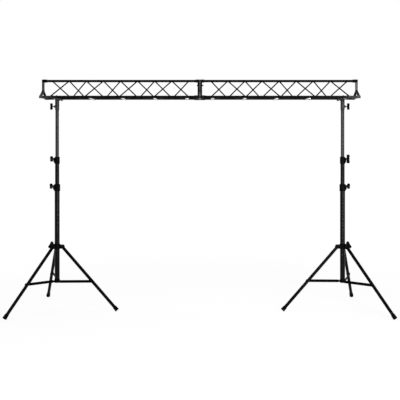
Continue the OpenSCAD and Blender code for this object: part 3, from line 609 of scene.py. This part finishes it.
# runs a tree on a guide mesh and keeps the result
def grow(name, kind, guide, values):
    tree, sockets = trees[kind]
    obj = addObject(name, guide)
    mod = obj.modifiers.new(kind, "NODES")
    mod.node_group = tree
    for label, value in values.items():
        mod[sockets[label]] = value
    return settle(obj)


# sets copies of a head on (point, direction) pairs
def setHeads(name, spots, head, turn=0.0, mat=blackZinc):
    guide = bpy.data.meshes.new("spots")
    guide.from_pydata([tuple(p) for p, _ in spots], [], [])
    facing = guide.attributes.new("facing", "FLOAT_VECTOR", "POINT")
    facing.data.foreach_set("vector", [c for _, d in spots for c in Vector(d).normalized()])
    return grow(name, "heads", guide, {"Head": head, "Turn": turn, "Finish": mat})


# a guide of lines through points, each open or closed
def pathGuide(paths):
    points, edges = [], []
    for path, closed in paths:
        first = len(points)
        points += [tuple(p) for p in path]
        edges += [(first + i, first + i + 1) for i in range(len(path) - 1)]
        if closed:
            edges.append((first + len(path) - 1, first))
    mesh = bpy.data.meshes.new("paths")
    mesh.from_pydata(points, edges, [])
    return mesh


# fastener heads in mm, each with its seat at local zero and facing local Z
domeLook = dict(rim=0.3, steps=6)
domes = {
    "pinHead": dict(radius=7, height=3, shank=4, depth=14),
    "rivetHead": dict(radius=7, height=3, shank=4, depth=4.2),
    "rivetCap": dict(radius=6.9, height=1.3, shank=2, depth=1),
    "popHead": dict(radius=4.2, height=1.5, shank=2, depth=2),
}
hexLook = dict(washer=1.6, washerEdge=0.3, chamferFrom=0.85, chamfer=0.9, threadPitch=0.5, threadDepth=0.4)
hexes = {
    "jointHead": dict(corner=7.6, height=5.0, washer=8.4, pad=4.0, shank=4, depth=18, tip=0),
    "jointNut": dict(corner=7.6, height=5.0, washer=8.4, pad=4.0, shank=4, depth=18, tip=3),
    "postNut": dict(corner=7.6, height=4.0, washer=8.4, pad=0.5, shank=4, depth=18, tip=9),
    "rodNut": dict(corner=5.7, height=3.6, washer=6.2, pad=0.0, shank=3, depth=0.5, tip=2.6),
}


def domeHead(name, radius, height, shank, depth):
    rim, steps = domeLook["rim"], domeLook["steps"]
    profile = [(0, -depth), (shank, -depth), (shank, 0), (radius, 0), (radius, height * rim)]
    for i in range(1, steps + 1):
        a = math.pi / 2 * i / steps
        profile.append((radius * math.cos(a), height * (rim + (1 - rim) * math.sin(a))))
    profile[-1] = (0, height)
    bm = bmesh.new()
    lathe(bm, profile, Matrix(), steps=24)
    return fromBmesh(name, bm, angle=50)


def hexHead(name, corner, height, washer, pad, shank, depth, tip):
    bm = bmesh.new()
    seat, edge = hexLook["washer"], hexLook["washerEdge"]
    top = seat + height
    lathe(bm, [(0, -pad), (washer, -pad), (washer, seat - edge), (washer - edge, seat), (0, seat)],
          Matrix(), steps=24)
    rings = []
    for z, share in ((seat, 1.0), (seat + height * hexLook["chamferFrom"], 1.0), (top, hexLook["chamfer"])):
        r = corner * share
        spots = [(r * math.cos(math.pi / 3 * i), r * math.sin(math.pi / 3 * i), z) for i in range(6)]
        rings.append([bm.verts.new(Vector(spot) * mm) for spot in spots])
    for a, b in zip(rings, rings[1:]):
        for i in range(6):
            bm.faces.new((a[i], a[(i + 1) % 6], b[(i + 1) % 6], b[i]))
    bm.faces.new(rings[0])
    bm.faces.new(rings[-1])
    pitch, root = hexLook["threadPitch"], shank - hexLook["threadDepth"]
    bolt = [(0, -depth), (shank, -depth)]
    for i in range(int(tip / pitch)):  # turned thread rings on the bolt's end
        z = top + i * pitch
        bolt += [(shank, z), (root, z + pitch / 2)]
    bolt += [(root, top + tip), (0, top + tip)]
    lathe(bm, bolt, Matrix(), steps=20)
    return fromBmesh(name, bm, angle=25)


fasteners = {name: domeHead(name, **size) for name, size in domes.items()}
fasteners.update({name: hexHead(name, **size) for name, size in hexes.items()})

# braces: one strap each, with round eyes and soft edges, on the same side of every leg
brace = dict(reach=437, width=26, eye=28, eyeSteps=24, thick=4, beside=17.6, soft=0.6)
# seats of the pins' and rivets' heads from the leg's middle plane
pin = dict(earSide=19.6, strapSide=19.65, lugSide=5.25, legSide=16.5)
# seats of the pop rivets from the column's axis, and their height on the collar
collarRivet = dict(lower=29.0, upper=25.0, rise=16)


# the strap, the way across it, and the points where its rivets sit
def braceStrap(side, leg):
    out, along, hubPin = spoke(side, f"{side}_{leg}_brace_swing")
    legPin = spoke(side, f"{side}_{leg}_leg_swing")[2]
    run = legPin + legDown(out) * brace["reach"] * mm - hubPin
    length = run.length / mm
    run.normalize()
    rise = run.cross(along)
    half, eye, steps = brace["width"] / 2, brace["eye"] / 2, brace["eyeSteps"]
    neck = math.asin(half / eye)
    outline = []
    for centre, start in ((length, -math.pi + neck), (0, neck)):  # round eyes joined by straight edges
        for i in range(steps + 1):
            a = start + 2 * (math.pi - neck) * i / steps
            outline.append((centre + eye * math.cos(a), eye * math.sin(a)))
    flat, soft = brace["thick"] / 2, brace["soft"]
    bm = bmesh.new()
    rings = []
    for depth, shrink in ((-flat, soft), (soft - flat, 0), (flat - soft, 0), (flat, soft)):
        ring = []
        for x, z in outline:
            cx = min(max(x, 0), length)
            d = Vector((x - cx, z))
            d = d * (1 - shrink / max(d.length, 1e-6))
            at = run * (cx + d.x) + rise * d.y + along * (depth - brace["beside"])
            ring.append(bm.verts.new(hubPin + at * mm))
        rings.append(ring)
    for a, b in zip(rings, rings[1:]):
        for i in range(len(a)):
            j = (i + 1) % len(a)
            bm.faces.new((a[i], a[j], b[j], b[i]))
    bm.faces.new(rings[0])
    bm.faces.new(rings[-1])
    stay = fromBmesh(f"{side}{leg.title()}BraceStrap", bm, strapCoat, angle=30)
    return stay, along, hubPin, hubPin + run * length * mm


for side in sides:
    spots = []
    for leg in legNames:
        along, pivot = spoke(side, f"{side}_{leg}_leg_swing")[1:]
        spots += [(pivot + along * s * pin["earSide"] * mm, along * s) for s in (-1, 1)]
        stay, along, hubPin, legEnd = braceStrap(side, leg)
        place(stay, f"{side}_{leg}_stay", "column_paint", f"{side}_{leg}_brace")
        tips = [(end - along * pin["strapSide"] * mm, -along) for end in (hubPin, legEnd)]
        tips.append((hubPin - along * pin["lugSide"] * mm, along))
        rivets = setHeads(f"{side}{leg.title()}BraceRivets", tips, fasteners["rivetHead"])
        place(rivets, f"{side}_{leg}_stay", "black_zinc")
        cap = [(legEnd + along * pin["legSide"] * mm, along)]
        caps = setHeads(f"{side}{leg.title()}LegRivetCap", cap, fasteners["rivetCap"])
        place(caps, f"{side}_{leg}_leg_tube", "black_zinc")
    pins = setHeads(f"{side}LegPins", spots, fasteners["pinHead"])
    place(pins, f"{side}_leg_slider", "black_zinc", f"{side}_leg_pins")
    axis = columnFoot(side)
    for kind, body in (("lower", "base"), ("upper", "mid")):  # pop rivets that hold each collar to its tube
        low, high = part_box(f"{side}_{kind}_collar")
        height = low.z + collarRivet["rise"] * mm
        spots = [(Vector((axis.x, axis.y + s * collarRivet[kind] * mm, height)), (0, s, 0)) for s in (-1, 1)]
        pops = setHeads(f"{side}{kind.title()}CollarRivets", spots, fasteners["popHead"])
        place(pops, f"{side}_{body}", "black_zinc")
print("braces, pins and rivets done")

# welds on the truss, and the fixture straps that are tacked under it
weld = dict(pitch=2.4, size=1.5, proud=0.3, steps=20, tackSide=3.4, tackReach=14, tackSunk=0.4)
fixture = dict(first=121, pitch=303, count=4, wide=30, thick=4, long=278, corner=4, hole=5.5, holeSteps=28,
               edge=0.5)


# the line where a strut meets a chord
def strutSeam(start, toward):
    along = (toward - start).normalized()
    side1 = along.orthogonal().normalized()
    side2 = along.cross(side1)
    ring = []
    for i in range(weld["steps"]):
        a = 2 * math.pi * i / weld["steps"]
        w = (side1 * math.cos(a) + side2 * math.sin(a)) * (truss["strut"] + weld["proud"]) * mm
        d2, wd = along.y ** 2 + along.z ** 2, w.y * along.y + w.z * along.z
        reach = ((truss["chord"] + weld["proud"]) * mm) ** 2 - w.y ** 2 - w.z ** 2
        t = (-wd + math.sqrt(wd ** 2 + d2 * reach)) / d2
        ring.append(start + along * t + w)
    return ring, True


seams = []
for sign in sides.values():
    for a, b in (("front", "top"), ("top", "rear"), ("rear", "front")):
        for k in range(truss["panels"]):
            p, q = (a, b) if k % 2 == 0 else (b, a)
            start = onTruss(sign * (truss["start"] + k * panel), p)
            stop = onTruss(sign * (truss["start"] + (k + 1) * panel), q)
            seams += [strutSeam(start, stop), strutSeam(stop, start)]
    for i in range(fixture["count"]):  # each strap is tacked on both sides of each chord that it crosses
        x = sign * (fixture["first"] + i * fixture["pitch"])
        for chord in ("front", "rear"):
            for s in (-1, 1):
                beside = Vector((0, s * weld["tackSide"], weld["tackSunk"] - truss["chord"])) * mm
                tack = [onTruss(x + e * weld["tackReach"], chord) + beside for e in (-1, -0.5, 0, 0.5, 1)]
                seams.append((tack, False))
beads = grow("trussWeldSeams", "seams", pathGuide(seams), {
    "Bead Pitch": weld["pitch"] * mm, "Bead Size": weld["size"] * mm, "Finish": trussEnamel})
place(beads, "truss", "truss_paint")

# fixture straps with rounded corners and a bolt hole
bm = bmesh.new()
loops = []
wide, long, hole = fixture["wide"] / 2, fixture["long"] / 2, fixture["hole"]
outline = [(wide, 0), (wide, long), (-wide, long), (-wide, -long), (wide, -long), (wide, 0)]
turns = [2 * math.pi * i / fixture["holeSteps"] for i in range(fixture["holeSteps"])]
rim = [(hole * math.cos(a), hole * math.sin(a)) for a in turns]
for ring in (rounded(outline, fixture["corner"])[:-1], rim):
    verts = [bm.verts.new(Vector((x, y, 0)) * mm) for x, y in ring]
    loops += [bm.edges.new((verts[i], verts[(i + 1) % len(verts)])) for i in range(len(verts))]
bmesh.ops.triangle_fill(bm, use_beauty=True, edges=loops)
strap = fromBmesh("strapMaster", bm, zincPlate)
thick = strap.modifiers.new("thickness", "SOLIDIFY")
thick.thickness = fixture["thick"] * mm
thick.offset = 0
edge = strap.modifiers.new("edges", "BEVEL")
edge.width = fixture["edge"] * mm
edge.segments = 2
edge.limit_method = "ANGLE"
settle(strap, angle=40)
strapDrop = -(truss["chord"] + fixture["thick"] / 2)
spots = [(chordMid + Vector((sign * (fixture["first"] + i * fixture["pitch"]), 0, strapDrop)) * mm, up)
         for sign in sides.values() for i in range(fixture["count"])]
straps = setHeads("fixtureStraps", spots, strap, mat=zincPlate)
place(straps, "truss", "zinc_plate", "fixture_straps")

# bolts through the middle joint's sleeves and posts, and the U-bolts with their nuts under the plates
middle = dict(boltAt=31, sleeve=15.5, postBolt=118, postFace=22)
uBolt = dict(radius=3, ring=15.3, spacing=38, plateUnder=17, tail=8, bendSteps=16)
heads, nuts, rodNuts, rods = [], [], [], []
for sign in sides.values():
    for chord in chordSpots:
        at = onTruss(sign * middle["boltAt"], chord)
        heads.append((at + Vector((0, -middle["sleeve"] * mm, 0)), (0, -1, 0)))
        nuts.append((at + Vector((0, middle["sleeve"] * mm, 0)), (0, 1, 0)))
ring, plate = uBolt["ring"] * mm, -uBolt["plateUnder"] * mm
tail = plate - uBolt["tail"] * mm
bends = [math.pi * i / uBolt["bendSteps"] for i in range(uBolt["bendSteps"] + 1)]
path = [(-ring, tail), (-ring, plate / 2)]
path += [(-ring * math.cos(a), ring * math.sin(a)) for a in bends]
path += [(ring, plate / 2), (ring, tail)]
for side in sides:
    axis = columnFoot(side)
    for s in (-1, 1):
        for chord in ("front", "rear"):
            centre = onTruss(0, chord)
            centre.x = axis.x + s * uBolt["spacing"] / 2 * mm
            rods.append(([centre + Vector((0, y, z)) for y, z in path], False))
            rodNuts += [(centre + Vector((0, e * ring, plate)), (0, 0, -1)) for e in (-1, 1)]
postMid = chordMid + Vector((0, 0, middle["postBolt"] * mm))
toFace = Vector((middle["postFace"] * mm, 0, 0))
heads.append((postMid - toFace, (-1, 0, 0)))
postEnd = [(postMid + toFace, (1, 0, 0))]
fittings = {  # its points, its head and the node that it stands for
    "jointBoltHeads": (heads, "jointHead", "joint_bolts"),
    "jointBoltNuts": (nuts, "jointNut", "joint_bolts"),
    "postBoltNut": (postEnd, "postNut", "joint_bolts"),
    "adapterUBoltNuts": (rodNuts, "rodNut", "adapter_u_bolts"),
}
for name, (spots, head, node) in fittings.items():
    fitting = setHeads(name, spots, fasteners[head], turn=1.0)
    place(fitting, "truss", "black_zinc", node)
uBolts = grow("adapterUBolts", "rod", pathGuide(rods), {
    "Rod Radius": uBolt["radius"] * mm, "Finish": blackZinc})
place(uBolts, "truss", "black_zinc", "adapter_u_bolts")
for master in (*fasteners.values(), strap):
    bpy.data.objects.remove(master)
print("truss fittings done")


# 1 where the background is seen, straight or in metal and glass
def seenRay(tree):
    ray = addNode(tree, "ShaderNodeLightPath").outputs
    sight = addNode(tree, "ShaderNodeMath", {
        0: ray["Is Camera Ray"], 1: ray["Is Glossy Ray"]}, operation="MAXIMUM")
    sight = addNode(tree, "ShaderNodeMath", {
        0: sight.outputs[0], 1: ray["Is Transmission Ray"]}, operation="MAXIMUM")
    return sight.outputs[0]


# plain pale floor: white to the eye and in reflections, and it keeps the object's shadow
floorLook = dict(colour="#ffffff", glow=(0.905, 0.985), between=(2.0, 6.0),
                 shadow="#6c6c6c", bounce="#d8d8d8", reach=60)
reach = floorLook["reach"]
floorMesh = bpy.data.meshes.new("studioFloor")
floorMesh.from_pydata(
    [(-reach, -reach, 0), (reach, -reach, 0), (reach, reach, 0), (-reach, reach, 0)], [], [(0, 1, 2, 3)])
floorMat = bpy.data.materials.new("paleStudioFloor")
floorMat.use_nodes = True
tree = floorMat.node_tree
tree.nodes.remove(tree.nodes["Principled BSDF"])
floorSpot = addNode(tree, "ShaderNodeTexCoord").outputs["Object"]
away = addNode(tree, "ShaderNodeVectorMath", {0: floorSpot}, operation="LENGTH")
glow = addNode(tree, "ShaderNodeMapRange", {  # whiter where the lamps no longer reach
    "Value": away.outputs["Value"], "From Min": floorLook["between"][0], "From Max": floorLook["between"][1],
    "To Min": floorLook["glow"][0], "To Max": floorLook["glow"][1]})
shown = addNode(tree, "ShaderNodeAddShader", {
    0: addNode(tree, "ShaderNodeBsdfDiffuse", {"Color": linear(floorLook["shadow"])}).outputs[0],
    1: addNode(tree, "ShaderNodeEmission", {
        "Color": linear(floorLook["colour"]), "Strength": glow.outputs["Result"]}).outputs[0]})
both = addNode(tree, "ShaderNodeMixShader", {
    0: seenRay(tree),
    1: addNode(tree, "ShaderNodeBsdfDiffuse", {"Color": linear(floorLook["bounce"])}).outputs[0],
    2: shown.outputs[0]})
tree.links.new(both.outputs[0], tree.nodes["Material Output"].inputs["Surface"])
addObject("studioFloor", floorMesh, floorMat)

# soft studio light: a pale room, white where it is seen, and soft boxes beside and above the object
roomLook = dict(seen="#ffffff", light="#ffffff", strength=0.25)
world = bpy.data.worlds.new("paleStudio")
scene.world = world
world.use_nodes = True
tree = world.node_tree
dim = addNode(tree, "ShaderNodeBackground", {
    "Color": linear(roomLook["light"]), "Strength": roomLook["strength"]})
white = addNode(tree, "ShaderNodeBackground", {"Color": linear(roomLook["seen"]), "Strength": 1.0})
room = addNode(tree, "ShaderNodeMixShader", {0: seenRay(tree), 1: dim.outputs[0], 2: white.outputs[0]})
tree.links.new(room.outputs[0], tree.nodes["World Output"].inputs["Surface"])

softBoxes = {
    "keyBox": dict(at=(2.3, -4.6, 1.45), aim=(0, 0, 1.3), wide=0.4, tall=2.8, power=195),
    "leftBox": dict(at=(-5.0, -3.5, 3.4), aim=(0, 0, 1.2), wide=1.6, tall=2.4, power=30),
    "topBox": dict(at=(0, 0.8, 5.2), aim=(0, 0, 1.0), wide=3.0, tall=1.2, power=50),
}
for name, box in softBoxes.items():
    lamp = bpy.data.lights.new(name, "AREA")
    lamp.shape = "RECTANGLE"
    lamp.size, lamp.size_y, lamp.energy = box["wide"], box["tall"], box["power"]
    obj = bpy.data.objects.new(name, lamp)
    scene.collection.objects.link(obj)
    obj.matrix_world = frameAt(Vector(box["at"]), Vector(box["at"]) - Vector(box["aim"]), (1, 0, 0))

# camera level in front of the middle, its frame shifted down as in the photograph:
# distance and height in m, sensor in mm, the rest in pixels
view = dict(distance=7.2, height=1.58, sensor=36, focal=751, horizon=144, middle=199.85, pixels=400)
camera = bpy.data.cameras.new("camera")
camera.sensor_width = view["sensor"]
camera.lens = view["focal"] / view["pixels"] * view["sensor"]
camera.shift_y = (view["horizon"] - view["pixels"] / 2) / view["pixels"]
camera.shift_x = (view["pixels"] / 2 - view["middle"]) / view["pixels"]
cameraObj = bpy.data.objects.new("camera", camera)
scene.collection.objects.link(cameraObj)
cameraObj.location = (0, columnFoot("left").y - view["distance"], view["height"])
cameraObj.rotation_euler = (math.pi / 2, 0, 0)
scene.camera = cameraObj
scene.view_settings.view_transform = "Standard"
print("floor, light and camera done")
